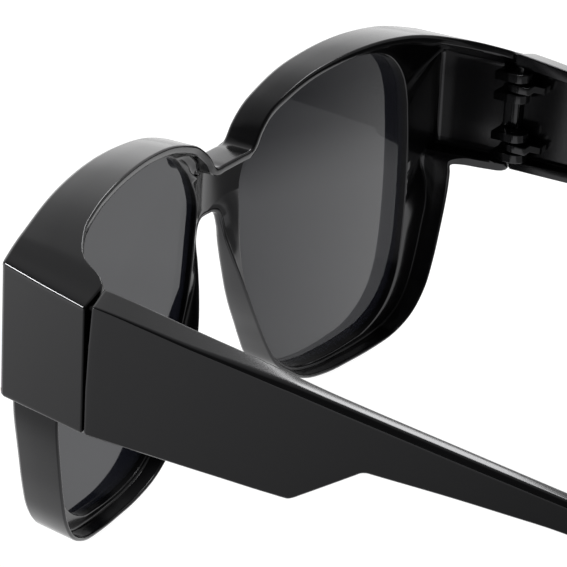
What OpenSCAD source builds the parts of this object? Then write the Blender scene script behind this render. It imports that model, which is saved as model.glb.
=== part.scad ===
// Folding wear-over sunglasses: one moulded front, two lenses, two temples and four hinge screws.
// Millimetres. +X is the wearer's left, +Y runs back along the temples, +Z is up.

/* [Lenses] */
// visible width of each lens
lens_w = 49.2; // [40:0.1:60]
// visible height of each lens
lens_h = 57.6; // [46:0.1:66]
// clear distance between the two lenses
bridge_w = 18.8; // [14:0.1:26]
// lens thickness
lens_t = 1.3; // [1:0.1:2.2]
// radius of the lens in plan view
lens_r = 1400; // [600:50:3000]
// depth of the lens back behind the front face, at the nose
lens_in = 2.4; // [2:0.1:3]
// depth of the lens back behind the front face, at the hinge side
lens_out = 4; // [3:0.1:5]
// depth of lens edge held in the groove
lens_bite = 0.9; // [0.6:0.1:1.5]

/* [Front] */
// distance from the lens edge out to the side of the hinge
end_w = 16.4; // [13:0.1:24]
// front face ahead of the hinge joint, at the bridge
front_depth = 24.8; // [20:0.1:32]
// radius of the front face in plan view
front_r = 385; // [200:5:900]
// height of the rim above the lens
rim_top = 3.2; // [2.4:0.1:6]
// height of the rim below the lens
rim_bottom = 2; // [1.6:0.1:6]
// thickness of the rim walls
wall = 1.8; // [1.4:0.1:2.6]
// thickness of the brow shelf
brow_t = 1.6; // [1.4:0.1:2.4]
// how far the hinge joint's top edge lies below the top of the lens
hinge_drop = 5; // [2:0.1:9]
// half width of the flat in the bridge notch
notch_half = 5.6; // [3:0.1:8]
// depth of the bridge notch below the hinge joint's top edge
notch_drop = 2.7; // [0:0.1:6]
// height of the bridge from its notch to the nose arch
bridge_h = 10.9; // [8:0.1:16]
// height of the end piece
end_h = 21.6; // [20:0.1:28]
// how far the end piece narrows from the joint to the front face
end_splay = 4.5; // [0:0.1:8]
// depth of the inner lip behind the front face
lip_depth = 5.2; // [4.4:0.1:6.4]
// radius of the inner lip in plan view
lip_r = 350; // [180:5:900]
// thickness of the rear flange round the lower rim
rim_wall = 0.9; // [0.8:0.05:1.6]
// rear edge of the lower rim ahead of the joint, at the middle plane
rim_setback = 17.5; // [13:0.1:19]
// rear edge of the brow shelf ahead of the joint, at the bridge
brow_setback = 18.3; // [14:0.1:20]

/* [Hinges] */
// radius of the hinge lugs
lug_r = 2.3; // [2:0.05:2.6]
// height of one hinge
hinge_h = 5.8; // [5:0.1:7]
// radius of the screw shank
screw_r = 0.8; // [0.6:0.05:1]
// radius of the screw head
head_r = 1.4; // [1.1:0.05:1.6]
// height of the screw head
head_h = 0.8; // [0.5:0.05:1]
// clearance between turning faces
play = 0.3; // [0.2:0.05:0.5]
// gap at the joint between front and temple
joint_gap = 0.6; // [0.4:0.05:1]

/* [Temples] */
// length of a temple behind the joint
temple_l = 138; // [125:0.5:160]
// length of the tall panel
panel_l = 36; // [28:0.5:44]
// length of the slanted step behind the panel
step_l = 13.5; // [8:0.5:20]
// thickness of the tall panel
panel_t = 5; // [4.6:0.1:6]
// thickness of the arm at the ear
arm_t = 3.2; // [2.4:0.1:4.4]
// height of the arm behind the step
arm_h = 8.2; // [6:0.1:11]
// height of the arm at the ear bend
ear_h = 5; // [4:0.1:7]
// fall of the top edge per millimetre of length
temple_fall = 0.1285; // [0.05:0.0005:0.2]
// length of the curved ear end
tip_l = 40; // [30:0.5:55]

/* [Hidden] */
$fn = 96;

frame_black = [0.07, 0.07, 0.08];
lens_grey = [0.33, 0.34, 0.36, 0.6];
steel = [0.6, 0.6, 0.62];

xi = bridge_w / 2;
xo = xi + lens_w;
xm = (xi + xo) / 2;
xh = xo + end_w;
zt = hinge_drop;
zb = zt - lens_h;
crest = zt + rim_top;
base = zb - rim_bottom;
zn = -notch_drop;
za = zn - bridge_h;
z0 = -base;
yf = -front_depth;
lip_y = yf + lip_depth;
lens_a = [xi, yf + lens_in + xi * xi / (2 * front_r)];
lens_b = [xo, yf + lens_out + xo * xo / (2 * front_r)];
lens_way = (lens_b - lens_a) / norm(lens_b - lens_a);
lens_hub = (lens_a + lens_b) / 2 + [-lens_way[1], lens_way[0]]
    * sqrt(lens_r * lens_r - pow(norm(lens_b - lens_a) / 2, 2));
lug_x = xh - panel_t;
lug_y = 1.5;
shift_y = (front_depth - temple_l) / 2;
hinge_top = -1.9;
hinge_low = -end_h + wall + play + hinge_h;
ear_t = (hinge_h - 2 * play) / 3 + 0.1;
tongue_t = hinge_h - 2 * play - 2 * ear_t;

function cr(a, b, c, d, t) = 0.5 * ((2 * b) + (c - a) * t + (2 * a - 5 * b + 4 * c - d) * t * t
    + (3 * b - a - 3 * c + d) * t * t * t);

function open_curve(p, n) = let (m = len(p) - 1) concat([
    for (i = [0 : m - 1], k = [0 : n - 1])
        cr(p[max(i - 1, 0)], p[i], p[i + 1], p[min(i + 2, m)], k / n)], [p[m]]);

function loop_curve(p, n) = let (m = len(p)) [
    for (i = [0 : m - 1], k = [0 : n - 1])
        cr(p[(i + m - 1) % m], p[i], p[(i + 1) % m], p[(i + 2) % m], k / n)];

function side_of(p, i) = let (m = len(p), d = p[(i + 1) % m] - p[(i + m - 1) % m]) [d[1], -d[0]] / norm(d);

function grow(p, d) = [for (i = [0 : len(p) - 1]) p[i] - d * side_of(p, i)];

function flip(p) = [for (q = p) [-q[0], q[1]]];

function back(p) = [for (i = [len(p) - 1 : -1 : 0]) p[i]];

function both(h) = concat(h, back(flip(h)));

// visible lens opening, clockwise in the front view
lens_key = [
    [xi + 0.5, zt - 13], [xi + 3.2, zt - 6.6], [xi + 8.5, zt - 2.7], [xi + 15.5, zt - 0.7],
    [xm, zt], [xo - 14, zt - 0.5], [xo - 7.4, zt - 2.7], [xo - 3.2, zt - 7],
    [xo - 1.1, zt - 13.5], [xo - 0.1, zt - 23], [xo, zb + 23.5], [xo - 0.8, zb + 14],
    [xo - 3.2, zb + 6.8], [xo - 8.6, zb + 2.1], [xm + 8, zb + 0.4], [xm - 1, zb],
    [xi + 17.4, zb + 0.9], [xi + 12, zb + 4], [xi + 7.7, zb + 9.6], [xi + 3.9, zb + 18],
    [xi + 1.3, zb + 26.5], [xi + 0.2, zb + 34]];
lens_line = loop_curve(lens_key, 4);

// top edge of the brow from the notch to the hinge
brow_key = [
    [notch_half, zn], [notch_half + 2.5, zn + 2.7], [notch_half + 5.9, zn + 5.4],
    [xi + 7, crest - 3.4], [xi + 13, crest - 1.6], [xi + 20.5, crest - 0.5],
    [xm + 4, crest], [xm + 12, crest - 0.3], [xo - 4.6, crest - 1.4],
    [xo + 2.4, crest - 3.2], [xo + 8, crest - 5], [xh - 4, 1.55], [xh, 0]];
brow_line = open_curve(brow_key, 4);

// outer edge of the rim from the end piece round to the nose arch
rim_key = [
    [xo + 9.2, -end_h + 4], [xo + 8.5, -end_h - 2], [xo + 7.6, -end_h - 7.6], [xo + 6.4, base + 19.8],
    [xo + 4.9, base + 13.8], [xo + 3.1, base + 8.8], [xo - 0.1, base + 4.6], [xo - 5, base + 1.8],
    [xm + 12.5, base + 0.5], [xm + 5.5, base + 0.06], [xm - 1, base + 0.06], [xi + 15.6, base + 1.6],
    [xi + 10.3, base + 4.6], [xi + 6.3, base + 10], [xi + 2.7, base + 17.2],
    [xi + 0.1, base + 24.2], [xi - 2.4, za - 9.9], [xi - 4, za - 5.6], [xi - 5.4, za - 2.1],
    [xi - 7, za - 0.4]];
rim_line = open_curve(rim_key, 4);

under_line = [for (q = brow_line) [q[0], q[1] - 0.7]];
rim_half = concat([for (q = under_line) if (q[0] < xo + 9) q], [[xo + 9.4, -2]], rim_line);

// rear edge of the brow shelf in plan view
shelf_key = [
    [notch_half + 6, -brow_setback], [xi + 10, -brow_setback + 0.9], [xi + 20, -brow_setback + 2.2],
    [xm + 10.6, -13.6], [xo - 3.6, -11.5], [xo + 2.4, -9.6], [xo + 6, -7.9], [xo + 8.3, -6],
    [xo + 9.9, -3.8], [xo + 10.8, -1.9], [xh - panel_t - 0.1, 0]];
shelf_line = open_curve(shelf_key, 4);

module along_y(y0, y1, p) {
    translate([0, y1, 0])
    rotate([90, 0, 0])
    linear_extrude(height = y1 - y0)
    polygon(p);
}

module drum(r, y) {
    translate([0, y + r, base - 10])
    cylinder(r = r, h = crest - base + 20, $fn = 360);
}

module lens_drum(r) {
    translate([lens_hub[0], lens_hub[1], base - 10])
    cylinder(r = r, h = crest - base + 20, $fn = 720);
}

module side_pair() {
    children();
    mirror([1, 0, 0])
    children();
}

// points of the end piece in plan view
front_corner = xh - end_splay;
corner_y = yf + front_corner * front_corner / (2 * front_r);
lean = end_splay / (-corner_y);

module end_block() {
    plan = [[xo - 4, yf - 1], [xh + 2, yf - 1], [xh + 2, 0], [xo + 6, 0], [xo + 6, corner_y + 3.4],
        [xo - 4, corner_y + 2.6]];
    side_pair()
    intersection() {
        translate([0, 0, -end_h])
        linear_extrude(height = end_h + crest)
        polygon(plan);
        along_y(yf - 6, 1, concat([[0, -end_h - 1]], [[0, zn - 0.7]], under_line,
            [[xh + 3, -0.7], [xh + 3, -end_h - 1]]));
    }
}

module brow_sheet() {
    low = [for (q = brow_line) [q[0], q[1] - brow_t]];
    strip = concat(back(flip(brow_line)), brow_line, [[xh + 3, -0.3]], [[xh + 3, -brow_t - 0.3]],
        back(low), flip(low), [[-xh - 3, -brow_t - 0.3]], [[-xh - 3, -0.3]]);
    plan = concat(shelf_line, [[xh + 2, 0]], [[xh + 2, yf - 5]]);
    intersection() {
        along_y(yf - 6, 1, strip);
        translate([0, 0, base])
        linear_extrude(height = crest - base + 2)
        polygon(both(plan));
    }
}

module rim_shell() {
    difference() {
        along_y(yf - 4, 0, both(rim_half));
        drum(300, -rim_setback);
    }
}

module rim_hollow() {
    thick = [for (q = rim_half) q[1] > -end_h - 1 || q[0] < xi + 9 ? wall : rim_wall];
    cavity = [for (i = [0 : len(rim_half) - 1]) rim_half[i] + thick[i] * side_of(rim_half, i)];
    inner = [for (q = cavity) if ((q[0] > xi + 2 && q[1] > zn + 1) || q[0] > xm || q[1] < za - 12) q];
    side_pair()
    intersection() {
        along_y(yf - 6, 1, inner);
        drum(lip_r, lip_y);
    }
}

module end_hollow() {
    line_x = front_corner - wall - 0.5;
    plan = [[xo + 4.2, 0.5], [xh - wall - 0.5, 0.5], [xh - wall - 0.5, 0],
        [line_x + lean * 2.4, corner_y + 2.4], [xo + 4.2, corner_y + 3]];
    floor_plan = [[xo + 4.2, 0.5], [xh - 6.6, 0.5], [xh - 6.6, 0], [xo + 7.2, 7.8 - rim_setback],
        [xo + 4.2, 6.8 - rim_setback]];
    side_pair() {
        translate([0, 0, -end_h + wall])
        linear_extrude(height = crest + end_h)
        polygon(plan);
        translate([0, 0, -end_h - 1])
        linear_extrude(height = wall + 1.2)
        polygon(floor_plan);
    }
}

module envelope() {
    plan = [[xh, 4], [xh, 0], [front_corner + 0.15, corner_y + 1.1], [front_corner - 0.25, corner_y + 0.4],
        [front_corner - 0.9, corner_y], [front_corner - 0.9, yf - 8]];
    intersection() {
        translate([0, 0, base - 1])
        linear_extrude(height = crest - base + 4)
        polygon(both(plan));
        drum(front_r, yf);
    }
}

module lens_opening() {
    side_pair()
    along_y(yf - 6, 1, lens_line);
}

module lens_groove() {
    side_pair()
    intersection() {
        along_y(yf - 6, 1, grow(lens_line, lens_bite + 0.3));
        difference() {
            lens_drum(lens_r + lens_t + 0.3);
            lens_drum(lens_r);
        }
    }
}

module nose_cut() {
    side = [[yf + 3.5, zn - brow_t], [1, zn - brow_t], [1, base + 2.6], [yf + 9, base + 3.4],
        [yf + 7.4, base + 7.4], [yf + 6, base + 11.4], [yf + 5.2, base + 16.4],
        [yf + 4.8, base + 21.4], [yf + 4.7, base + 27], [yf + 4.3, base + 30], [yf + 3.5, base + 34]];
    translate([-xi - 14, 0, 0])
    rotate([90, 0, 90])
    linear_extrude(height = 2 * xi + 28)
    polygon(side);
    roof = concat([for (q = brow_line) if (q[0] < xi + 6) [q[0], q[1] - 1.1]], [[xi + 6, zn - 4]]);
    along_y(yf + 3.5, 1, both(roof));
    translate([0, yf + 15.7, za - 20])
    cylinder(r = 14, h = zn - brow_t - za + 20);
}

module nose_pads() {
    arc = [for (i = [0 : 8]) [cos(189 + 3 * i), sin(189 + 3 * i)]];
    side_pair()
    translate([xi + 23.1, 0, za - 8.1])
    along_y(yf + 1.8, yf + 5.8, concat(25 * arc, 23.6 * back(arc)));
}

module ear_pair(top) {
    for (z = [top - ear_t, top - hinge_h])
    translate([0, 0, z]) {
        translate([lug_x, lug_y, 0])
        cylinder(r = lug_r, h = ear_t);
        translate([lug_x - lug_r, -2.8, 0])
        cube([2 * lug_r, 2.8 + lug_y, ear_t]);
        translate([lug_x, -2.8, 0])
        cube([lug_r + 0.9, 2.4, ear_t]);
    }
}

module ear_bores(top, flip_head) {
    translate([lug_x, lug_y, top - hinge_h - 1])
    cylinder(r = screw_r + 0.03, h = hinge_h + 2);
    head_z = flip_head ? top - hinge_h - 1 : top - head_h;
    translate([lug_x, lug_y, head_z])
    cylinder(r = head_r + 0.1, h = head_h + 1);
}

module front_frame() {
    color(frame_black)
    translate([0, shift_y, z0])
    difference() {
        intersection() {
            union() {
                difference() {
                    union() {
                        rim_shell();
                        end_block();
                    }
                    rim_hollow();
                    end_hollow();
                    nose_cut();
                }
                brow_sheet();
                nose_pads();
                side_pair() {
                    ear_pair(hinge_top);
                    ear_pair(hinge_low);
                }
            }
            envelope();
        }
        lens_opening();
        lens_groove();
        side_pair() {
            ear_bores(hinge_top, true);
            ear_bores(hinge_low, false);
        }
    }
}

module lens(side) {
    color(lens_grey)
    translate([0, shift_y, z0])
    mirror([side, 0, 0])
    intersection() {
        along_y(yf - 6, 1, grow(lens_line, lens_bite));
        difference() {
            lens_drum(lens_r + lens_t);
            lens_drum(lens_r);
        }
    }
}

module lens_left() {
    lens(0);
}

module lens_right() {
    lens(1);
}

// side view of a temple, y then z
top_start = 1.25;
bend = temple_l - tip_l;
function top_at(y) = top_start - temple_fall * y;
arm_low = top_at(panel_l + step_l) - arm_h;
roof_t = top_at(lug_y + lug_r) - hinge_top - play;
tip_key = [
    [bend, top_at(bend)], [bend + 8, top_at(bend) - 1.7], [bend + 17, top_at(bend) - 5.2],
    [bend + 27, top_at(bend) - 11], [temple_l - 3.6, top_at(bend) - 19.2], [temple_l - 0.6, top_at(bend) - 22.4],
    [temple_l, top_at(bend) - 24.8], [temple_l - 1.6, top_at(bend) - 26.8], [temple_l - 4.6, top_at(bend) - 26.8],
    [temple_l - 7.6, top_at(bend) - 24.8], [bend + 24, top_at(bend) - ear_h - 11.4],
    [bend + 14, top_at(bend) - ear_h - 5.4], [bend + 5, top_at(bend) - ear_h - 1.6],
    [bend - 4, top_at(bend) - ear_h + 0.1]];
low_key = [
    [panel_l + step_l + 34, arm_low], [panel_l + step_l + 1.6, arm_low], [panel_l + step_l - 0.4, arm_low - 0.3],
    [panel_l + step_l - 2.2, arm_low - 1.2], [panel_l + 2.6, -end_h + 0.5], [panel_l + 1, -end_h - 0.2],
    [panel_l - 1, -end_h - 0.5], [panel_l - 6, -end_h - 0.4], [joint_gap, -end_h]];
temple_side = concat([[joint_gap, top_at(joint_gap)]], open_curve(tip_key, 3), low_key);

module temple_body() {
    intersection() {
        translate([xh - panel_t, 0, 0])
        rotate([90, 0, 90])
        linear_extrude(height = panel_t)
        polygon(temple_side);
        translate([0, 0, base])
        linear_extrude(height = crest - base + 4)
        polygon([[xh, 0], [xh, temple_l + 1], [xh - arm_t, temple_l + 1], [xh - arm_t, bend],
            [xh - panel_t, panel_l], [xh - panel_t, 0]]);
    }
}

module temple_left_body() {
    difference() {
        union() {
            difference() {
                temple_body();
                translate([xh, 0, 0])
                rotate([-atan(temple_fall), 0, 0])
                rotate([0, 14, 0])
                translate([-20, -10, 0])
                cube([40, temple_l + 20, 20]);
                translate([0, 0, 0])
                rotate([90, 0, 90])
                linear_extrude(height = xh - wall - 0.5)
                polygon([[-1, top_at(-1) - roof_t], [panel_l - 3, top_at(panel_l - 3) - roof_t],
                    [panel_l - 3, -end_h + wall], [-1, -end_h + wall]]);
            }
            for (top = [hinge_top, hinge_low])
            translate([0, 0, top - hinge_h / 2 - tongue_t / 2]) {
                translate([lug_x, lug_y, 0])
                cylinder(r = lug_r, h = tongue_t);
                translate([lug_x, lug_y, 0])
                cube([panel_t - 1, 5, tongue_t]);
                translate([lug_x - lug_r, lug_y, 0])
                cube([lug_r + 1, 3, tongue_t]);
            }
        }
        translate([lug_x, lug_y, -end_h])
        cylinder(r = screw_r + 0.05, h = end_h - 1.6);
    }
}

module temple(side) {
    color(frame_black)
    translate([0, shift_y, z0])
    mirror([side, 0, 0])
    temple_left_body();
}

module temple_left() {
    temple(0);
}

module temple_right() {
    temple(1);
}

module screw(side, top, head_up) {
    low = top - hinge_h;
    color(steel)
    translate([0, shift_y, z0])
    mirror([side, 0, 0])
    translate([lug_x, lug_y, 0])
    difference() {
        union() {
            translate([0, 0, low + (head_up ? 0.2 : head_h)])
            cylinder(r = screw_r, h = hinge_h - head_h - 0.2);
            translate([0, 0, head_up ? top - head_h : low])
            cylinder(r = head_r, h = head_h);
        }
        translate([-0.2, -2, head_up ? top - 0.3 : low - 0.1])
        cube([0.4, 4, 0.4]);
    }
}

module screw_upper_left() {
    screw(0, hinge_top, false);
}

module screw_lower_left() {
    screw(0, hinge_low, true);
}

module screw_upper_right() {
    screw(1, hinge_top, false);
}

module screw_lower_right() {
    screw(1, hinge_low, true);
}

front_frame();
lens_left();
lens_right();
temple_left();
temple_right();
screw_upper_left();
screw_lower_left();
screw_upper_right();
screw_lower_right();
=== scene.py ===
# %% [markdown]
# # Wear-over sunglasses in gloss black and grey
# The CAD model gives the true sizes and the hinges. This lesson dresses it: the
# front and the temples get smooth moulded surfaces, the lenses get a grey tint,
# and a white table with soft light shows them as in a catalogue.

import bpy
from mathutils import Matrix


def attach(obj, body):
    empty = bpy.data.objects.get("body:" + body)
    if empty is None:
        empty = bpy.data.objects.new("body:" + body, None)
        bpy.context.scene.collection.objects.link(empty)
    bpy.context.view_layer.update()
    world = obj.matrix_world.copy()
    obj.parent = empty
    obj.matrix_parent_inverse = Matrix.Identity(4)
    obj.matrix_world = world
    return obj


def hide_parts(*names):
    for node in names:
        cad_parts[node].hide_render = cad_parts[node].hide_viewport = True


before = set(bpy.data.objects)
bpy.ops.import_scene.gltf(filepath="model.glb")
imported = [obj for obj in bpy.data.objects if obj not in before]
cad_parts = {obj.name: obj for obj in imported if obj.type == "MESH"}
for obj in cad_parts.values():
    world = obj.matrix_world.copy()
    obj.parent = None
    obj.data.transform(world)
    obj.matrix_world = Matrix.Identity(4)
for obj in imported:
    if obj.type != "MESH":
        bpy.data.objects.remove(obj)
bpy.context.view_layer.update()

# %% [markdown]
# Every size below is in millimetres, measured from the line where the top of a
# temple meets the front, because that line is easy to find in the photograph. A
# few small helpers turn such a point into a place in the scene and draw smooth
# curves through measured points.

# %% Helpers for sizes and places
import math

import bmesh
import bpy
from mathutils import Quaternion, Vector

MM = 0.001
HINGE_LINE = Vector((0.0, -56.6, 54.6))     # the joint's top line inside the part's own frame


def put(x, y, z):
    """A point in millimetres from the joint's top line becomes a point of the part in metres."""
    return (Vector((x, y, z)) + HINGE_LINE) * MM


def mix(a, b, t):
    return a + (b - a) * t


def clamp(t):
    return min(max(t, 0.0), 1.0)


def ease(low, high, value):
    """0 below low, 1 above high, with a soft start and end."""
    t = clamp((value - low) / (high - low))
    return t * t * (3 - 2 * t)


def curve_rows(rows, steps):
    """A smooth path through rows of numbers; a short gap never makes it swing back."""
    gaps = [max(math.dist(a, b), 1e-4) for a, b in zip(rows, rows[1:])]
    slopes = [[(b - a) / gaps[0] for a, b in zip(rows[0], rows[1])]]
    for i in range(1, len(rows) - 1):
        g, h = gaps[i - 1], gaps[i]
        slopes.append([((b - a) / g * h + (c - b) / h * g) / (g + h)
                       for a, b, c in zip(rows[i - 1], rows[i], rows[i + 1])])
    slopes.append([(b - a) / gaps[-1] for a, b in zip(rows[-2], rows[-1])])
    path = []
    for i, gap in enumerate(gaps):
        for k in range(steps):
            t = k / steps
            u, v = t * t * (3 - 2 * t), t * (1 - t)
            path.append([mix(a, b, u) + gap * v * ((1 - t) * m - t * n)
                         for a, b, m, n in zip(rows[i], rows[i + 1], slopes[i], slopes[i + 1])])
    path.append(list(rows[-1]))
    return path


print("the joint's top line lies at", [round(v, 4) for v in put(0, 0, 0)])

# %% [markdown]
# Shader maths reads best as Python. The class below wraps one socket, so that
# `1 - mask * 0.3` adds its Math nodes by itself. Colours are mixed by a Mix node.

# %% A small class for shader maths
MASK, DARK, LIGHT, MIXED = 0, 6, 7, 2       # the sockets of a Mix node that mixes colours


class Wire:
    def __init__(self, tree, socket):
        self.tree, self.socket = tree, socket

    def node(self, kind, settings=None, **sockets):
        """Adds a node; i0 and i1 stand for its first and second input."""
        made = self.tree.nodes.new(kind)
        for key, value in (settings or {}).items():
            if key == "stops":
                ramp = made.color_ramp.elements
                while len(ramp) < len(value):
                    ramp.new(0.5)
                for element, (place, shade) in zip(ramp, value):
                    element.position = place
                    element.color = (shade, shade, shade, 1.0)
            else:
                setattr(made, key, value)
        for key, value in sockets.items():
            numbered = key[0] == "i" and key[1:].isdigit()
            socket = made.inputs[int(key[1:]) if numbered else key.replace("_", " ")]
            if isinstance(value, Wire):
                self.tree.links.new(value.socket, socket)
            else:
                socket.default_value = value
        return made

    def out(self, made, name=0):
        return Wire(self.tree, made.outputs[name])

    def _math(self, operation, a, b):
        return self.out(self.node("ShaderNodeMath", {"operation": operation}, i0=a, i1=b))

    def __add__(self, other): return self._math("ADD", self, other)
    def __radd__(self, other): return self._math("ADD", other, self)
    def __sub__(self, other): return self._math("SUBTRACT", self, other)
    def __rsub__(self, other): return self._math("SUBTRACT", other, self)
    def __mul__(self, other): return self._math("MULTIPLY", self, other)
    def __rmul__(self, other): return self._math("MULTIPLY", other, self)

    def blend(self, dark, light):
        """Mixes two colours by this mask."""
        made = self.node("ShaderNodeMix", {"data_type": "RGBA"})
        self.tree.links.new(self.socket, made.inputs[MASK])
        made.inputs[DARK].default_value = (*dark, 1.0)
        made.inputs[LIGHT].default_value = (*light, 1.0)
        return self.out(made, MIXED)


def finish_named(name):
    """A new material, its shader, and its Object coordinates as a wire."""
    material = bpy.data.materials.new(name)
    material.use_nodes = True
    tree = material.node_tree
    shader = tree.nodes["Principled BSDF"]
    start = Wire(tree, None)
    place = start.out(start.node("ShaderNodeTexCoord"), "Object")
    return material, shader, place


def plug(shader, name, value):
    if isinstance(value, Wire):
        value.tree.links.new(value.socket, shader.inputs[name])
    else:
        shader.inputs[name].default_value = value


def noise(place, scale, detail):
    """A soft random pattern between 0 and 1, with this many patches in a metre."""
    return place.out(place.node("ShaderNodeTexNoise", Vector=place, Scale=scale, Detail=detail))


def fade(place, value, low, high, kind="LINEAR"):
    """0 where the value is below low, 1 where it is above high."""
    return place.out(place.node("ShaderNodeMapRange", {"interpolation_type": kind},
                                Value=value, From_Min=low, From_Max=high))


print("shader helpers ready")

# %% [markdown]
# The frame is injection-moulded black plastic with a polished skin. Its colour is
# almost pure black, so nearly all that the eye sees is reflection. A slow change
# of roughness and a very fine orange-peel bump keep that reflection from looking
# like glass.

# %% Polished black plastic
POLISH = 0.1                                # roughness where the skin is smoothest
PEEL_STRENGTH, PEEL_DEPTH = 0.05, 0.00005   # the orange peel; its depth is in metres


def black_moulding():
    material, shader, place = finish_named("frame_plastic")
    cloud = noise(place, 60.0, 3.0)
    grain = noise(place, 1400.0, 2.0)
    specks = noise(place, 5200.0, 1.0)
    plug(shader, "Base Color", cloud.blend((0.0022, 0.0022, 0.0025), (0.0042, 0.0042, 0.0046)))
    plug(shader, "Roughness", POLISH + 0.06 * cloud + 0.03 * grain)
    height = grain * 0.6 + specks * 0.4
    bump = place.node("ShaderNodeBump", Strength=PEEL_STRENGTH, Distance=PEEL_DEPTH, Height=height)
    plug(shader, "Normal", place.out(bump))
    plug(shader, "IOR", 1.5)
    plug(shader, "Specular Tint", (0.97, 0.97, 1.0, 1.0))
    return material


frame_black = black_moulding()
print("made", frame_black.name, "with", len(frame_black.node_tree.nodes), "nodes")

# %% [markdown]
# The lenses are dark grey and let only a little light through. Most of their
# grey is the white room mirrored at a slant, so the shader is a nearly opaque
# dark body with a clean gloss. The top of both lenses is a little denser. The
# near lens is painted darker than the far one: painted shade, from an opacity
# that grows towards the near side.

# %% Grey tinted lens
TINT = 0.87                     # how opaque the lens is in the middle of the glasses
PAINTED_SHADE_ASIDE = 3.0              # painted shade: what each metre to the wearer's left adds to the opacity
DENSER_ABOVE = 0.07             # what the top adds
TOP_FROM, TOP_TO = 0.04, 0.055  # heights between which the top begins, in metres


def grey_lens():
    material, shader, place = finish_named("lens_tint")
    cloud = noise(place, 18.0, 1.0)
    spot = place.node("ShaderNodeSeparateXYZ", Vector=place)
    aside = place.out(spot, "X")
    above = fade(place, place.out(spot, "Z"), TOP_FROM, TOP_TO)
    plug(shader, "Base Color", cloud.blend((0.010, 0.011, 0.017), (0.014, 0.015, 0.023)))
    plug(shader, "Roughness", 0.035 + 0.02 * cloud)
    # painted shade: the opacity grows towards the near lens, so it is darker than the far one
    plug(shader, "Alpha", TINT + 0.02 * cloud + PAINTED_SHADE_ASIDE * aside + DENSER_ABOVE * above)
    plug(shader, "Specular Tint", (0.93, 0.95, 1.0, 1.0))
    plug(shader, "IOR", 1.37)
    return material


lens_grey = grey_lens()
print("made", lens_grey.name, "with", len(lens_grey.node_tree.nodes), "nodes")

# %% [markdown]
# The four hinge screws are short turned steel pins with a dark oxide finish. They
# sit deep in the shade of the hinge, so a plain dark metal with fine tool marks
# in its roughness is enough.

# %% Screw steel
def turned_steel():
    material, shader, place = finish_named("screw_steel")
    cloud = noise(place, 900.0, 2.0)
    plug(shader, "Base Color", cloud.blend((0.05, 0.05, 0.052), (0.11, 0.11, 0.112)))
    plug(shader, "Metallic", 1.0)
    plug(shader, "Roughness", 0.28 + 0.2 * cloud)
    return material


steel = turned_steel()
print("made", steel.name)

# %% [markdown]
# Every solid of the CAD model gets a finish, also those that a smoother piece will
# stand in for later. That way each solid can be shown by itself, and the screws are
# used just as they come.

# %% Give the CAD nodes their finishes
FINISHES = {"lens": lens_grey, "screw": steel}      # every other node is black plastic


def dress(node, material):
    slots = bpy.data.objects[node].data.materials
    slots.clear()
    slots.append(material)


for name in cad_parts:
    dress(name, FINISHES.get(name.split("_")[0], frame_black))
print("dressed nodes:", len(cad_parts))

# %% [markdown]
# ## The moulded front
# On the real object one shot of plastic makes the brow shelf, both rims, the nose
# arch and the hollow end pieces. Joining solids would leave hard seams, which gloss
# black shows at once. Here one half is a closed tube that runs round the lens: a
# ring of points starts at the lens opening, and each extrude moves a copy of it on,
# over the front face, round the outside and back in behind the lens.

# %% Depths of the front, in millimetres
FACE_Y = -24.795                # the front face in the middle
FACE_BEND = 770                 # twice the radius of the face's curve round the head
END_STEP = 0.35                 # how much further out the faces of the end pieces lie
LENS_R, LENS_CX, LENS_CY = 1400, -133.917, 1370.36      # curve of the lens seen from above
LENS_FROM, LENS_TO = 8.0, 60.0  # the lens lies between these x
BRIDGE_T = 1.2                  # thickness of the nose arch behind the face
SCOOP_R = 14                    # radius of the hollow behind the nose arch
# rows: x, y of the rear edge of the brow shelf
SHELF = [(0, -18.3), (11.6, -18.3), (19.4, -17.4), (29.4, -16.1), (44.6, -13.6), (55, -11.5),
         (61, -9.6), (64.6, -7.9), (66.3, -6.4), (67.4, -4.6), (68.3, -2.6), (69.2, -0.8),
         (69.8, 0), (80, 0)]


def face_y(x):
    return FACE_Y + x * x / FACE_BEND - END_STEP * ease(60, 72, abs(x))


def read_off(table, x):
    for (x0, y0), (x1, y1) in zip(table, table[1:]):
        if x <= x1:
            return mix(y0, y1, (x - x0) / (x1 - x0)) if x > x0 else y0
    return table[-1][1]


def lens_depth(x):
    """Depth of the lens back behind the face: nearly flat lenses turned a little outwards."""
    x = min(max(abs(x), LENS_FROM), LENS_TO)
    return LENS_CY - math.sqrt(LENS_R ** 2 - (x - LENS_CX) ** 2) - face_y(x)


def scoop(x):
    """How far the hollow behind the nose arch has risen at x."""
    return SCOOP_R - math.sqrt(SCOOP_R ** 2 - min(abs(x), SCOOP_R - 0.1) ** 2)


print("the lens is", round(lens_depth(33), 2), "mm behind the face in its middle")
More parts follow.
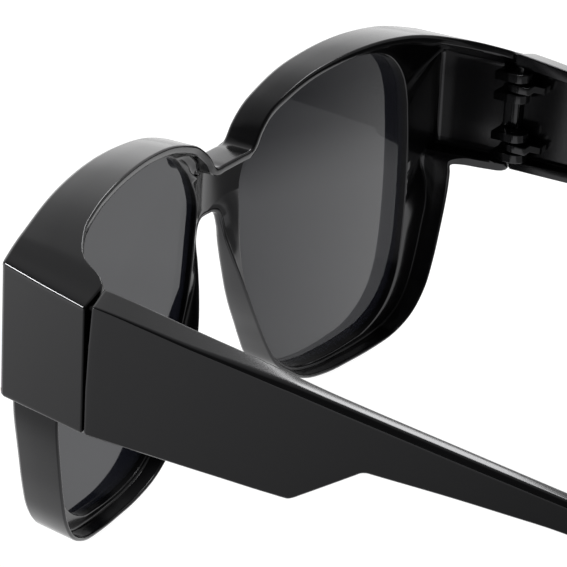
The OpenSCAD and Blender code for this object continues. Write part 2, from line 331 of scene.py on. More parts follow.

# %% [markdown]
# Each station is one cut across the tube. It needs the outer edge, the lens edge
# beside it, the inside of the wall, and how deep the wall reaches. The stations
# are listed where the shape turns, and a smooth curve fills in the rest.

# %% Measured stations round the lens
# rows: x z of the outer edge, x z of the lens edge, x z of the inside where it was measured
BROW = [(0, -2.7, 9.2, -5.2), (3, -2.7, 9.8, -4.2), (5.3, -2.7, 10.8, -2.9),
        (6.3, -2.25, 11.4, -2.3), (8.1, 0, 12.6, -1.2), (11.5, 2.7, 14.6, 0.6),
        (16.4, 4.8, 18.4, 2.6), (22.4, 6.6, 23.2, 4.0), (29.9, 7.7, 29.6, 4.85),
        (38, 8.19, 37, 5.05), (46, 7.9, 44.6, 4.5), (54, 6.8, 50.5, 2.7), (61, 5.0, 53.7, 0.2),
        (66.6, 3.2, 55.6, -2.4), (69.6, 1.9, 56.5, -4.4)]
BLOCK = [(72, 0.92, 57, -6, 70.2, -0.7), (74.3, 0.06, 57.4, -7.6, 71.2, -1.2),
         (74.85, -0.22, 57.55, -8.4, 71.45, -1.5), (75, -0.72, 57.62, -9, 71.55, -1.9),
         (75, -1.7, 57.7, -9.8, 71.6, -2.5), (75, -7, 58.1, -13.2, 71.6, -7),
         (75, -14, 58.4, -17.4, 71.6, -14), (75, -19.8, 58.5, -20.6, 71.6, -18.2),
         (75, -21, 58.52, -21.3, 71.55, -19), (74.8, -21.4, 58.55, -21.8, 71.4, -19.6),
         (74.1, -21.6, 58.57, -22.3, 71, -19.8), (71.5, -21.6, 58.6, -23.3, 70, -19.8),
         (68.5, -21.6, 58.6, -24.4, 68, -19.8)]
RIM = [(68, -21.6, 58.6, -24.9, 67.8, -19.85), (67.5, -21.65, 58.6, -25.6, 67.1, -20.1),
       (67.25, -22.1, 58.6, -26.4, 66.5, -21.2), (67.05, -23.4, 58.6, -27.4, 66.2, -23),
       (66.7, -26.2, 58.55, -29.6, 65.8, -26), (66.1, -29.6, 58.4, -32.8),
       (65, -34.8, 58, -37.2), (63.5, -40.8, 57, -42.2), (61.7, -45.7, 55.2, -46),
       (58.5, -49.9, 52.6, -48.8), (53.6, -52.7, 48.4, -51.2), (46.5, -54.05, 43, -52.15),
       (39.5, -54.5, 37.4, -52.6), (33, -54.5, 32, -52.5), (25, -53, 26.2, -51.5),
       (19.7, -50, 21.6, -49.1)]
# the fifth number of a nose row is how far the wall reaches behind the face
NOSE = [(15.9, -47, 18.3, -45.6, 7.5), (13.5, -43, 16.2, -42, 6.8), (11.6, -39.2, 14.2, -38, 6.3),
        (9.7, -35.5, 12.4, -34.4, 6.0), (8.2, -32, 11, -31, 5.5), (6.85, -28, 9.5, -27, 4.65),
        (5.6, -24, 8.55, -23, 3.6), (4.75, -20.8, 8.05, -19.8, 2.7), (4.3, -18, 7.75, -17, 2.0),
        (3.7, -16, 7.5, -14.8, 1.75), (3.05, -14.95, 7.3, -13.2, 1.6),
        (1.9, -14.45, 7.15, -11.8, 1.36), (0, -14.4, 7.1, -10.7, 1.2)]
# rows: z in the mirror plane, x z of the lens edge beside it
MIDDLE = [(-13.5, 7.1, -10), (-12.6, 7.15, -9.6), (-11, 7.3, -8.9), (-9.2, 7.55, -8.2),
          (-7.4, 7.9, -7.4), (-6, 8.25, -6.7), (-5, 8.7, -6)]
print("measured stations:", sum(len(table) for table in (BROW, BLOCK, RIM, NOSE, MIDDLE)))

# %% [markdown]
# The lens edge and the outline were measured. The rest of a station follows from
# where it stands: the brow is a deep shelf, the end piece a hollow box, the rim a
# deep thin wall that leans in, and the nose wall a shallow one that ends in a thin
# arch.

# %% Fill in the stations
HALF_WIDTH = 75.0               # the outer side of an end piece
END_LOW = -21.6                 # the lower edge of an end piece
LENS_LIP, ARCH_LIP = 1.15, 3.3  # lip height above the lens back, and above the face at the arch
END_FLOOR = -15.9 - face_y(68)  # the inside of an end piece's front wall
WALLS = {"brow": 1.6, "block": 1.6, "rim": 0.9, "nose": 0.8}
STEPS = 4                       # stations for each measured one
# the first rows of the rim still belong to the end piece's corner; later rows are all alike
RIM_BACK, RIM_DRAFT = (-3, -8, -10, -10), (0.0, 0.0, 0.1, 0.2, 0.5, 0.8)
RIM_LEAN = (0.9, 0.7, 0.5, 0.3, 0.1)


def early(values, k, rest):
    """The value of row k, or rest once the listed values have run out."""
    return values[k] if k < len(values) else rest


def inward_at(path, i):
    """The direction into the wall, square to the outline, at row i."""
    if i in (0, len(path) - 1):
        return Vector((0, -1)) if i == 0 else Vector((0, 1))
    before, after = path[i - 1], path[i + 1]
    return Vector((after[1] - before[1], before[0] - after[0])).normalized()


def key_rows():
    """Columns: outer x z, lens x z, inner x z, rear y, draft, lip height, floor height, lean."""
    tables = {"brow": BROW, "block": BLOCK, "rim": RIM, "nose": NOSE}
    keys = [(part, k, row) for part, table in tables.items() for k, row in enumerate(table)]
    outline = [row[:2] for part, k, row in keys]
    rows = []
    for i, (part, k, row) in enumerate(keys):
        x, z, lx, lz = row[:4]
        even = Vector((x, z)) + inward_at(outline, i) * WALLS[part]
        inner = Vector(row[4:6]) if len(row) == 6 else even
        lip = lens_depth(lx) + LENS_LIP
        draft, lean = 0.0, 1.0
        if part == "brow":
            back = read_off(SHELF, x)
            lip = mix(ARCH_LIP, lip, ease(11, 20, lx))
            floor = min(BRIDGE_T + scoop(x), lip)
        elif part == "block":
            back, floor = 0.0, END_FLOOR
        elif part == "rim":
            back = early(RIM_BACK, k, -17.5 + x * x / 600)
            draft, lean = early(RIM_DRAFT, k, 1.0), early(RIM_LEAN, k, 0.0)
            floor = mix(END_FLOOR, lip, ease(-22, -29, z))
        else:
            back = FACE_Y + row[4]
            draft = 0.2 * ease(-14.3, -18.5, z)
            lip = mix(ARCH_LIP, lip, ease(-30, -46, z))
            floor = mix(BRIDGE_T + scoop(x), lip, ease(-17, -26, z)) if z > -26 else lip
            floor = min(floor, row[4] - 0.02)
        rows.append([x, z, lx, lz, inner.x, inner.y, back, draft, lip, floor, lean])
    return rows


def scooped_at(x, z):
    """1 where the round hollow behind the nose arch shapes the back, 0 where it doesn't."""
    if z > -9:
        return 1 - ease(6, 12, x)
    return ease(-26, -18, z) if x < 7 else 0.0


def stations():
    made = []
    path = curve_rows(key_rows(), STEPS)
    for i, row in enumerate(path):
        outer, inner = Vector(row[0:2]), Vector(row[4:6])
        if i in (0, len(path) - 1):
            outer.x = inner.x = 0.0
        made.append(dict(o=outer, l=Vector(row[2:4]), i=inner, n=inward_at(path, i), back=row[6],
                         draft=row[7], lip=row[8], floor=row[9], lean=row[10], plane=False,
                         scooped=scooped_at(row[0], row[1])))
    for z, lx, lz in MIDDLE:
        centre = Vector((0.0, z))
        made.append(dict(o=centre, l=Vector((lx, lz)), i=centre, n=Vector((0, 0)),
                         back=FACE_Y + BRIDGE_T, draft=0.0, lip=ARCH_LIP, floor=BRIDGE_T,
                         lean=0.0, plane=True, scooped=1.0))
    return made


brow_top = curve_rows([row[:2] for row in BROW + BLOCK[:2]], 6) + [[HALF_WIDTH, 0], [80, 0]]
stops = stations()
print("stations round one lens:", len(stops))

# %% [markdown]
# The end pieces lean: their side is narrower at the face than at the hinge. Every
# ring point is therefore moved by the same small rule, so the walls stay even.

# %% Rings of the tube
SIDE_LEAN = 0.245               # how much an end piece narrows for each mm towards the face
SIDE_FROM = 58.0                # the lean begins at this x
FACE_ROUND, REAR_ROUND, INNER_ROUND, POCKET_ROUND = 0.9, 0.4, 0.35, 1.0     # radii of the edges
OPENING_ROUND, LIP_ROUND, LIP_MIDDLE = 0.4, 0.25, 0.07
SOFT = 0.3                      # share of its radius that the middle point of an edge keeps


def leant(point, y, share):
    """Moves a point of the end piece inwards as it nears the face."""
    x, z = point
    if share <= 0 or x <= SIDE_FROM:
        return point
    moved = x + SIDE_LEAN * y * (x - SIDE_FROM) / (HALF_WIDTH - SIDE_FROM) * share
    rise = read_off(brow_top, moved) - read_off(brow_top, x)
    return Vector((moved, z + rise * clamp((z - END_LOW) / -END_LOW) * share))


def outer_point(s, inset, y):
    depth = max(s["back"] - face_y(s["o"].x), 0.1)
    shift = inset + s["draft"] * (s["back"] - y) / depth
    return leant(s["o"] + s["n"] * shift, y, s["lean"])


def outer_side(s, front):
    """From the front edge of the outside to its rear edge."""
    full = s["back"] - front
    face_round = min(FACE_ROUND + 0.15 * ease(58, 72, s["o"].x), 0.4 * full)
    rear_round = min(REAR_ROUND, 0.25 * full)
    points = []
    for inset, y in ((face_round, front), (face_round * SOFT, front + face_round * SOFT),
                     (0, front + face_round), (0, mix(front, s["back"], 0.5)),
                     (0, s["back"] - rear_round),
                     (rear_round * SOFT, s["back"] - rear_round * SOFT), (rear_round, s["back"])):
        points.append((outer_point(s, inset, y), y))
    return points


def inner_side(s):
    """From the rear edge down the inside of the wall to the floor behind the face."""
    inner, inward, back = s["i"], s["n"], s["back"]
    floor = face_y(inner.x) + s["floor"]
    room = (back - floor) / 2
    tilt = s["lean"] * mix(1.0, 0.5, ease(66, 71, s["o"].x))
    drop = max(min(INNER_ROUND, room), 0.0)
    points = [(leant(inner - inward * drop, back, tilt), back),
              (leant(inner, back - drop, tilt), back - drop)]
    drop = max(min(mix(INNER_ROUND, POCKET_ROUND, min(s["lean"] * 2, 1)), room), 0.0)
    foot = leant(inner, floor, tilt)
    return points + [(leant(inner, floor + drop, tilt), floor + drop),
                     (foot + inward * drop * SOFT, floor + drop * SOFT),
                     (foot + inward * drop, floor)]


def ring_points(s):
    """All points of one station, from the lens opening over the face and back to the lens."""
    lens = s["l"]
    edge = face_y(lens.x)
    front = face_y(outer_point(s, 0, face_y(s["o"].x))[0])
    face_point = outer_point(s, 0, front)
    out = (face_point - lens).normalized()
    points = [(lens, edge + OPENING_ROUND),
              (lens + out * OPENING_ROUND * SOFT, edge + OPENING_ROUND * SOFT),
              (lens + out * OPENING_ROUND, edge)]
    for share in (0.35, 0.7):
        spot = lens.lerp(face_point, share)
        points.append((spot, face_y(spot.x)))
    if s["plane"]:
        points += [(s["o"], face_y(0))] * 3 + [(s["o"], s["back"])] * 9
    else:
        points += outer_side(s, front) + inner_side(s)
    start, y0 = points[-1]
    lip = edge + s["lip"]
    for share in (0.25, 0.5, 0.75):
        spot = start.lerp(lens, share)
        bowl = min(face_y(spot.x) + BRIDGE_T + scoop(spot.x), lip)
        points.append((spot, mix(mix(y0, lip, share), bowl, s["scooped"])))
    back_out = (start - lens).normalized()
    points += [(lens + back_out * LIP_ROUND, lip),
               (lens + back_out * LIP_MIDDLE, lip - LIP_MIDDLE), (lens, lip - LIP_ROUND)]
    return [Vector((p[0], y, p[1])) for p, y in points]


print("points in one ring:", len(ring_points(stops[0])))

# %% [markdown]
# Blender's own operators build the surface: a circle with one vertex per station is
# extruded once for every step of the ring. The last extrude lands on the first ring,
# and merging the doubles closes the tube. The shell is then checked for its facing,
# since a half turned inside out would shade wrongly.

# %% Loft a tube ring by ring
WELD = 0.000002         # vertices closer than this many metres become one


def loft_tube(bm, rows, closed=True):
    """rows[station][ring]: starts as a circle and extrudes it from ring to ring."""
    count = len(rows)
    ring = bmesh.ops.create_circle(bm, segments=count, radius=1.0, cap_ends=False)["verts"]
    for vert, row in zip(ring, rows):
        vert.co = put(*row[0])
    for level in range(1, len(rows[0]) + (1 if closed else 0)):
        places = {vert: k for k, vert in enumerate(ring)}
        edges = {edge for vert in ring for edge in vert.link_edges
                 if edge.verts[0] in places and edge.verts[1] in places}
        grown = bmesh.ops.extrude_edge_only(bm, edges=list(edges))["geom"]
        fresh = [None] * count
        for vert in (g for g in grown if isinstance(g, bmesh.types.BMVert)):
            for edge in vert.link_edges:
                twin = edge.other_vert(vert)
                if twin in places:
                    fresh[places[twin]] = vert
        for vert, row in zip(fresh, rows):
            vert.co = put(*row[level % len(row)])
        ring = fresh
    bmesh.ops.remove_doubles(bm, verts=bm.verts, dist=WELD)


def outwards(bm, faces):
    """Turns the faces of one closed shell so that they look away from its material."""
    bmesh.ops.recalc_face_normals(bm, faces=faces)
    volume = sum(face.calc_center_median().dot(face.normal) * face.calc_area() for face in faces)
    if volume < 0:
        bmesh.ops.reverse_faces(bm, faces=faces)


def mesh_piece(name, bm, material, body):
    for face in bm.faces:
        face.smooth = True
    mesh = bpy.data.meshes.new(name)
    bm.to_mesh(mesh)
    bm.free()
    piece = bpy.data.objects.new(name, mesh)
    bpy.context.scene.collection.objects.link(piece)
    mesh.materials.append(material)
    even = piece.modifiers.new("even_shading", "WEIGHTED_NORMAL")
    even.keep_sharp = True
    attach(piece, body)
    print(name, "faces:", len(mesh.polygons))
    return piece


print("loft tools ready for", len(stops), "stations")

# %% [markdown]
# Behind each end piece stand two pairs of ears, one pair above the other. A tongue
# of the temple sits between the ears of a pair, and a short screw runs through all
# three. They are thin plates, so a drawn outline is extruded to its height. Between
# the pairs a narrow lip reaches into the temple's hollow: no light shows through the
# joint in the photograph.

# %% Plates for the hinges
PIN = (70, 1.5)                 # x and y of the screws
EAR_R = 2.25                    # radius of the ears and tongues round a screw
PLATE_BEVEL = 0.2


def arc(cx, cz, radius, start, stop, count):
    turns = [math.radians(mix(start, stop, k / (count - 1))) for k in range(count)]
    return [(cx + radius * math.cos(turn), cz + radius * math.sin(turn)) for turn in turns]


def plate(bm, outline, z0, z1, side):
    """A hinge plate: a face from its outline, extruded upwards."""
    earlier = set(bm.faces)
    verts = [bm.verts.new(put(side * x, y, z0)) for x, y in outline]
    face = bm.faces.new(verts)
    grown = bmesh.ops.extrude_face_region(bm, geom=[face])["geom"]
    fresh = [g for g in grown if isinstance(g, bmesh.types.BMVert)]
    bmesh.ops.translate(bm, verts=fresh, vec=Vector((0, 0, (z1 - z0) * MM)))
    rims = {edge for vert in verts + fresh for edge in vert.link_edges
            if abs(edge.verts[0].co.z - edge.verts[1].co.z) < 1e-7}
    bmesh.ops.bevel(bm, geom=list(rims), offset=PLATE_BEVEL * MM, segments=2, profile=0.5,
                    affect="EDGES", material=-1)
    outwards(bm, [face for face in bm.faces if face not in earlier])


HINGES = (-4.8, -16.6)          # z in the middle of each tongue
TONGUE_T = 1.5
EAR = [(67.75, -2.75), (73.15, -2.75), (73.15, -0.45), (72.25, -0.45)]
EAR += arc(*PIN, EAR_R, 0, 180, 13)
EAR_LEVELS = [(-3.7, -1.93), (-7.67, -5.9), (-15.5, -13.73), (-19.47, -17.7)]
SHIELD = [(70.95, -2), (71.7, -2), (71.7, 0.8), (70.95, 0.8)]
SHIELD_LEVELS = (-13.6, -7.8)
print("ears on each side:", len(EAR_LEVELS))

# %% [markdown]
# The mould makes both halves in one shot, so the half tube is mirrored and welded
# in the middle of the bridge. The faces that lay in the mirror plane are deleted
# first, because they would be left inside the plastic.

# %% The whole front
bm = bmesh.new()
loft_tube(bm, [ring_points(s) for s in stops])
in_plane = [f for f in bm.faces if all(abs(v.co.x) < 1e-6 for v in f.verts)]
bmesh.ops.delete(bm, geom=in_plane, context="FACES")
bmesh.ops.mirror(bm, geom=bm.verts[:] + bm.edges[:] + bm.faces[:], axis="X", merge_dist=WELD)
bmesh.ops.remove_doubles(bm, verts=bm.verts, dist=WELD)
outwards(bm, bm.faces[:])
for side in (1, -1):
    for low, high in EAR_LEVELS:
        plate(bm, EAR, low, high, side)
    plate(bm, SHIELD, *SHIELD_LEVELS, side)
open_edges = [e for e in bm.edges if len(e.link_faces) != 2]
print("edges without two faces:", len(open_edges))
moulded_front = mesh_piece("moulded_front", bm, frame_black, "front")
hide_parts("front_frame")

# %% [markdown]
# ## The lenses
# The lenses are thin, nearly flat shells held in a groove of the front. The edge
# comes straight from the stations above, grown by the part that hides in the
# groove. The same tube loft makes the shell: rings grow from the middle of the
# back out to the edge and shrink again over the front side.

# %% Two tinted lenses
LENS_T, LENS_BITE, LENS_BEVEL = 1.3, 0.8, 0.1   # thickness, depth in the groove, rounded edge
LENS_MIDDLE = Vector((33.5, -23.0))
LENS_SHARES = (0.0, 0.15, 0.3, 0.45, 0.6, 0.75, 0.88, 0.97, 1.0)


def lens_back(x):
    return face_y(x) + lens_depth(x)


def lens_shell(side):
    edge = [s["l"] for s in stops]
    rows = []
    for k, point in enumerate(edge):
        along = edge[(k + 1) % len(edge)] - edge[k - 1]
        grown = point + Vector((-along.y, along.x)).normalized() * LENS_BITE
        row = []
        for shares, shift, bevel in ((LENS_SHARES, 0.0, -LENS_BEVEL),
                                     (LENS_SHARES[::-1], -LENS_T, LENS_BEVEL)):
            for share in shares:
                spot = LENS_MIDDLE.lerp(grown, share)
                y = lens_back(spot.x) + shift + (bevel if share == 1 else 0)
                row.append(Vector((side * spot.x, y, spot.y)))
        rows.append(row)
    bm = bmesh.new()
    loft_tube(bm, rows, closed=False)
    outwards(bm, bm.faces[:])
    word = "left" if side > 0 else "right"
    shell = mesh_piece("tinted_lens_" + word, bm, lens_grey, "front")
    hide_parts("lens_" + word)


for side in (1, -1):
    lens_shell(side)
print("lens thickness:", LENS_T)

# %% [markdown]
# ## The temples
# A temple starts as a tall panel that carries on the shape of the end piece, steps
# down to a slim arm and ends in a curved ear tip. The panel is hollow on its inner
# side. One section runs along the whole temple: the pocket is simply a part of the
# section that goes flat where the panel becomes solid.

# %% Edges of the temple in side view
JOINT_Y = 0.3                   # where the temple begins behind the end piece
TIP_T, TIP_RISE = 3.1, 0.1      # thickness of the ear end, and how much its inner edge rises
# rows: y, z of the outer top edge, how much higher the inner top edge is
TOP = [(JOINT_Y, 0.48, 1.0), (4.7, 0.01, 0.95), (10.6, -0.76, 0.86), (19, -1.86, 0.73),
       (37, -3.56, 0.1), (91, -10.49, 0.1)]
# rows: y at the top edge, y z at the bottom edge, thickness, top edge radius, pocket depth
SPINE = [(JOINT_Y, JOINT_Y, -21.6, 5, 0.3, 2.7), (4.7, 4.7, -21.65, 4.95, 0.33, 2.65),
         (10.6, 10.6, -21.75, 4.8, 0.45, 2.5), (19, 19, -21.9, 4.5, 0.65, 2.25),
         (26, 26, -22, 4.2, 0.9, 1.9), (32, 32, -22.1, 3.85, 1.1, 1.55),
         (32.6, 32.6, -22.1, 3.8, 1.12, 1.3), (33.2, 33.2, -22.1, 3.75, 1.15, 0),
         (34.6, 34.6, -22.1, 3.65, 1.2, 0), (36, 36.1, -22.1, 3.5, 1.22, 0),
         (36.8, 36.9, -22.05, 3.45, 1.23, 0), (37.4, 37.6, -21.75, 3.4, 1.25, 0),
         (38.6, 39, -20.87, 3.3, 1.3, 0), (42, 42.3, -18.75, 3.1, 1.35, 0),
         (45.4, 45.6, -16.61, 3, 1.4, 0), (47.8, 48, -15.05, 2.97, 1.4, 0),
         (48.7, 48.9, -14.47, 2.96, 1.4, 0), (49.6, 49.8, -14.17, 2.95, 1.4, 0),
         (51, 51, -14.12, 2.93, 1.4, 0), (53, 53, -14.12, 2.92, 1.4, 0),
         (57, 57, -14.1, 2.88, 1.4, 0), (64, 64, -14.1, 2.85, 1.4, 0),
         (74, 73, -14.25, 2.75, 1.3, 0), (84, 82, -14.5, 2.7, 1.2, 0),
         (91, 88.5, -15.2, 2.8, 1.2, 0)]
# rows: y z of the top edge, y z of the bottom edge, top edge radius
TIP = [(98, -11.5, 95, -16.5, 1.4), (106, -13.2, 103.4, -18.1, 1.3), (115, -16.7, 112, -21.7, 1.2),
       (125, -22.5, 122, -27.6, 1.2), (131, -27.4, 127, -32.8, 1.2),
       (134.4, -30.6, 130.4, -36, 1.2), (136.3, -32.4, 131.8, -37.2, 1.1),
       (137.4, -33.9, 133.2, -38, 1.0), (137.9, -35.6, 134.6, -38.1, 0.8),
       (137.8, -36.6, 135.8, -37.8, 0.5)]


def spine_rows():
    """Columns: y z of the top edge, y z of the bottom, thickness, radius, pocket, inner rise."""
    level, rise = [row[:2] for row in TOP], [row[::2] for row in TOP]
    rows = [[a, read_off(level, a), c, d, thick, radius, pocket, read_off(rise, a)]
            for a, c, d, thick, radius, pocket in SPINE]
    return rows + [[a, b, c, d, TIP_T, radius, 0, TIP_RISE] for a, b, c, d, radius in TIP]


print("key sections of a temple:", len(spine_rows()))

# %% [markdown]
# A cut through the temple is a tall bar. Its outer top edge is a wide, flat ellipse
# that the long highlight follows, the top leans up towards the head near the joint,
# and the inner side carries the pocket. All cuts have the same number of points.

# %% One section of the temple
LOW_ROUND, INNER_EDGE, POCKET_EDGE = 0.5, 0.3, 0.2      # radii: outer bottom, inner, pocket
MIN_POCKET = 0.3                # a shallower pocket is left out
POCKET_END, POCKET_TOP, POCKET_LOW = 33.3, -1.55, -19.8     # its last y, and its z
LEAST_TOP, LEAST_LOW, LEAST_GAP = 1.2, 0.8, 0.4     # where a section is too low for the pocket
TOP_WIDE, TOP_SHARE, TOP_STEPS = 1.7, 0.42, 8       # the ellipse of the outer top edge
CROWN = 0.02                    # how much the flat top swells
CROWN_SHARES = (0.55, 0.66, 0.74, 0.82, 0.88)


def section(thick, height, radius, slope, crown, pocket, ceiling, floor):
    """Points of x and z; z is 0 at the outer top edge and -height at the bottom."""
    outer, inner = HALF_WIDTH, HALF_WIDTH - thick
    low = min(LOW_ROUND, height / 4)
    radius = min(radius, height / 3)
    edge = min(INNER_EDGE, height / 6)
    ceiling = max(ceiling, -height + LEAST_TOP)
    floor = min(max(floor, -height + LEAST_LOW), ceiling - LEAST_GAP)
    lean = math.tan(slope)
    wide = min(TOP_WIDE * radius, TOP_SHARE * thick)
    turn = math.atan2(radius, wide * lean)
    drop = radius * math.sin(turn) - wide * (1 - math.cos(turn)) * lean
    points = arc(outer - low, -height + low, low, -90, 0, 4)
    points += [(outer, mix(-height + low, -drop, share)) for share in (0.33, 0.67)]
    for k in range(TOP_STEPS + 1):
        part = turn * k / TOP_STEPS
        points.append((outer - wide + wide * math.cos(part), -drop + radius * math.sin(part)))
    for share in CROWN_SHARES:
        swell = crown * (1 - ((share - 0.7) / 0.25) ** 2)
        points.append((mix(outer, inner, share), thick * share * lean + swell))
    points += arc(inner + edge, (thick - edge) * lean - edge / math.cos(slope), edge,
                  90 - math.degrees(slope), 180, 4)
    bevel, deep = min(POCKET_EDGE, pocket / 2), inner + pocket
    points += [(inner, ceiling + POCKET_EDGE), (inner + bevel, ceiling), (deep - bevel, ceiling),
               (deep, ceiling - bevel), (deep, mix(ceiling, floor, 0.5)), (deep, floor + bevel),
               (deep - bevel, floor), (inner + bevel, floor), (inner, floor - POCKET_EDGE)]
    points += arc(inner + INNER_EDGE, -height + INNER_EDGE, INNER_EDGE, 180, 270, 3)
    return points


def temple_rows():
    rows = []
    for y1, z1, y0, z0, thick, radius, pocket, rise in curve_rows(spine_rows(), STEPS):
        pocket = pocket if pocket > MIN_POCKET and y1 < POCKET_END else 0.0
        height = math.hypot(y1 - y0, z1 - z0)
        slope = math.atan(rise / thick)
        crown = CROWN * ease(18, 42, y1) + CROWN * ease(50, 80, y1)
        ring = []
        for x, z in section(thick, height, radius, slope, crown, pocket, POCKET_TOP,
                            POCKET_LOW - z1):
            share = -z / height
            ring.append(Vector((x, mix(y1, y0, share), mix(z1, z0, share))))
        rows.append(ring)
    return rows


print("sections along a temple:", len(temple_rows()))

# %% [markdown]
# At the joint the temple's edge is rounded, and it sweeps back towards the top, as
# in the photograph. At the ear the sections shrink to a blunt, soft end. The loft
# runs along the temple this time, from joint to ear, and two tongues for the hinges
# are added.

# %% Round the ends of the temple
SWEEP, SWEEP_LOW = 0.9, -16     # how far the outer top corner stands back, and where that starts
PANEL_IN, SWEEP_WIDE = 70, 4.5  # inner side of the panel; the sweep grows over this width
TOP_FALL = -0.107               # slope of the top edge behind the joint
EDGE_X, EDGE_TOP, EDGE_LOW = 74, -0.6, -21      # points past these belong to an edge
# rows: y of a ring, how far its outline is drawn in
JOINT_RINGS = ((JOINT_Y, 0.4), (0.37, 0.2), (0.52, 0.06), (0.9, 0.0), (2.2, 0.0))
REST_FROM = 4.2                 # behind this y the sections follow as they were measured
# rows: size of a ring at the ear end, and how far it stands out
TIP_RINGS = ((0.8, 0.25), (0.45, 0.42), (0.0, 0.48))


def at_joint(ring, y, inset):
    """The first section, moved to y, with its outer, top and bottom edges drawn in."""
    made = []
    for p in ring:
        high, aside = (p.z - SWEEP_LOW) / -SWEEP_LOW, (p.x - PANEL_IN) / SWEEP_WIDE
        sweep = SWEEP * clamp(high) ** 1.5 * clamp(aside)
        x = p.x - inset if p.x > EDGE_X else p.x
        z = p.z
        if p.z > EDGE_TOP and p.x > PANEL_IN + 0.1:
            z = p.z - inset
        elif p.z < EDGE_LOW:
            z = p.z + inset
        fall = TOP_FALL * (y + sweep - JOINT_Y) * clamp((z - END_LOW) / -END_LOW)
        made.append(Vector((x, y + sweep, z + fall)))
    return made


def with_front_edge(rows):
    """Adds rings that round the edge at the joint, where the top sweeps back a little."""
    front = [at_joint(rows[0], y, inset) for y, inset in JOINT_RINGS]
    return front + [ring for ring in rows[1:] if ring[0].y > REST_FROM]


def round_tip(rows):
    """Closes the ear end with rings that shrink towards its middle."""
    last = rows[-1]
    middle = sum(last, Vector()) / len(last)
    ahead = (middle - sum(rows[-4], Vector()) / len(last)).normalized()
    for share, step in TIP_RINGS:
        rows.append([middle.lerp(p, share) + ahead * step for p in last])
    return rows


print("rings that round the joint and the ear end:", len(JOINT_RINGS), len(TIP_RINGS))

# %% [markdown]
# One temple serves for both sides: the other is the same loft with x turned over.
# The hole that the loft leaves at the joint is filled with one face, and the tongues
# are drawn with the same plate helper as the ears.

# %% Loft both temples
TONGUE = arc(*PIN, EAR_R, 180, 360, 13)
TONGUE += [(73, 2.2), (73, 6.5), (70, 6.5), (70, 4.5), (67.75, 4.5)]


def make_temple(side):
    rows = round_tip(with_front_edge(temple_rows()))
    bm = bmesh.new()
    columns = [[Vector((side * p.x, p.y, p.z)) for p in column] for column in zip(*rows)]
    loft_tube(bm, columns, closed=False)
    holes = [e for e in bm.edges if e.is_boundary]
    bmesh.ops.contextual_create(bm, geom=holes)
    outwards(bm, bm.faces[:])
    for z in HINGES:
        plate(bm, TONGUE, z - TONGUE_T / 2, z + TONGUE_T / 2, side)
    word = "left" if side > 0 else "right"
    temple = mesh_piece("moulded_temple_" + word, bm, frame_black, word + "_temple")
    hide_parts("temple_" + word)


for side in (1, -1):
    make_temple(side)
print("tongues on each temple:", len(HINGES))

# %% [markdown]
# ## The studio
# The photograph has a pure white ground without shadows. A matt table that glows
# a little gives the same. Its glow is painted dark beside the camera and far
# behind the glasses, outside the picture: painted shade, like the dim end of a
# sweep of paper. The gloss black mirrors those parts, which gives the sides
# their even dark grey.

# %% A white table
GLOW = 0.98                     # strength of the table's own light
TABLE_HALF, TABLE_DROP = 3.0, 0.0005        # half its width, and its depth under the glasses
# pairs of places in metres: the glow is white at the first and painted dark, as painted shade, at
# the second
BESIDE_X, BESIDE_Y = (0.055, 0.1), (-0.27, 0.04)
FAR_LINE, FAR_Y = (-0.003, 0.008), (-0.012, 0.014)
ALONG_Y, ALONG_X = 0.899, 0.438             # the direction that FAR_LINE is measured in
FAR_SHARE = 0.8                 # how dark the painted shade far behind the glasses becomes


def table_paper():
    material, shader, place = finish_named("white_table")
    cloud = noise(place, 3.0, 2.0)
    plug(shader, "Base Color", cloud.blend((0.18, 0.18, 0.18), (0.22, 0.22, 0.22)))
    plug(shader, "Roughness", 0.9)
    spot = place.node("ShaderNodeSeparateXYZ", Vector=place)
    x, y = place.out(spot, "X"), place.out(spot, "Y")
    # painted shade: the table's glow is dimmed beside the camera and far behind the glasses
    near = fade(place, x, *BESIDE_X, "SMOOTHSTEP") * fade(place, y, *BESIDE_Y)
    beyond = fade(place, y * ALONG_Y - x * ALONG_X, *FAR_LINE, "SMOOTHSTEP")
    far = beyond * fade(place, y, *FAR_Y) * FAR_SHARE
    shade = near + far - near * far
    plug(shader, "Emission Color", shade.blend((1.0, 1.0, 1.0), (0.04, 0.04, 0.04)))
    plug(shader, "Emission Strength", GLOW)
    return material


def white_table():
    bm = bmesh.new()
    bmesh.ops.create_grid(bm, x_segments=4, y_segments=4, size=TABLE_HALF)
    bmesh.ops.translate(bm, verts=bm.verts, vec=Vector((0.0, 0.0, -TABLE_DROP)))
    mesh = bpy.data.meshes.new("white_table")
    bm.to_mesh(mesh)
    bm.free()
    table = bpy.data.objects.new("white_table", mesh)
    bpy.context.scene.collection.objects.link(table)
    mesh.materials.append(table_paper())
    return table


table = white_table()
print("table size:", [round(v, 2) for v in table.dimensions])

# %% [markdown]
# The walls of the room are bright on the side away from the camera and dark behind
# it. A dot product with one direction, sent through a ramp, paints them. Two soft
# lamps add what the walls cannot: the long streak on the temple and the thin white
# line on the edge of the end piece.

# %% The white room
BRIGHT_SIDE = (-0.87, -0.49, 0.0)
ROOM_LIGHT = 2.0
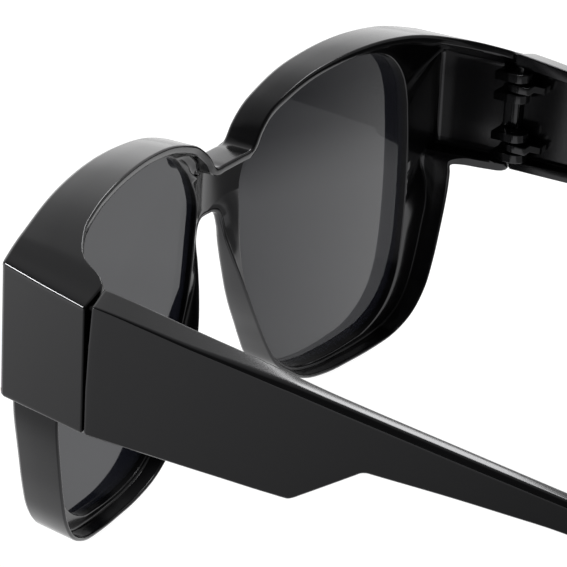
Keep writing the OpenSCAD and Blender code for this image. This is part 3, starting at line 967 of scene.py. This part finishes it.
# rows: 0 away from the bright side to 1 towards it, grey of the wall there
ROOM = [(0.0, 0.03), (0.45, 0.04), (0.53, 0.14), (0.79, 0.25), (0.84, 0.36), (0.957, 0.55),
        (0.968, 0.7), (1.0, 0.83)]
world = bpy.data.worlds.new("white_room")
bpy.context.scene.world = world
world.use_nodes = True
sky = Wire(world.node_tree, None)
ways = sky.out(sky.node("ShaderNodeTexCoord"), "Generated")
dot = sky.node("ShaderNodeVectorMath", {"operation": "DOT_PRODUCT"}, i0=ways, i1=BRIGHT_SIDE)
level = sky.node("ShaderNodeValToRGB", {"stops": ROOM}, Fac=sky.out(dot, "Value") * 0.5 + 0.5)
backdrop = world.node_tree.nodes["Background"]
plug(backdrop, "Color", sky.out(level))
plug(backdrop, "Strength", ROOM_LIGHT)


def softbox(name, place, target, wide, high, power):
    """A soft lamp at one place that looks at another; all in millimetres."""
    lamp = bpy.data.lights.new(name, "AREA")
    lamp.shape, lamp.energy = "RECTANGLE", power
    lamp.size, lamp.size_y = wide * MM, high * MM
    box = bpy.data.objects.new(name, lamp)
    bpy.context.scene.collection.objects.link(box)
    box.location = put(*place)
    box.rotation_euler = (put(*target) - put(*place)).to_track_quat("-Z", "Y").to_euler()


softbox("softbox_back", (-150, -32, 235), (72, 68, -9), 70, 120, 0.21)
softbox("softbox_front", (386, -466, 216), (74, -10, 0), 120, 120, 1.9)

# %% [markdown]
# The camera stands behind the wearer's left shoulder, a little above the temples,
# and looks through a long lens. Its place was solved from edges of the two halves
# that mirror each other in the photograph.

# %% The camera
AZIMUTH, ELEVATION, ROLL = (math.radians(v) for v in (119.338, 22.613, 2.804))
CAMERA_PLACE = Vector((481.291, 206.286, 261.226)) * MM
FOCAL_LENGTH, FILM_WIDTH, VIEW_END = 219.084, 36.0, 20.0    # two in millimetres, one in metres
camera = bpy.data.objects.new("camera", bpy.data.cameras.new("camera"))
bpy.context.scene.collection.objects.link(camera)
bpy.context.scene.camera = camera
backwards = Vector((math.sin(AZIMUTH) * math.cos(ELEVATION),
                    -math.cos(AZIMUTH) * math.cos(ELEVATION), math.sin(ELEVATION)))
camera.rotation_mode = "QUATERNION"
camera.rotation_quaternion = (-backwards).to_track_quat("-Z", "Y") @ Quaternion((0, 0, 1), ROLL)
camera.location = CAMERA_PLACE
camera.data.lens = FOCAL_LENGTH
camera.data.sensor_width = FILM_WIDTH
camera.data.clip_end = VIEW_END
bpy.context.scene.view_settings.view_transform = "Standard"
print("camera distance in metres:", round(camera.location.length, 3))
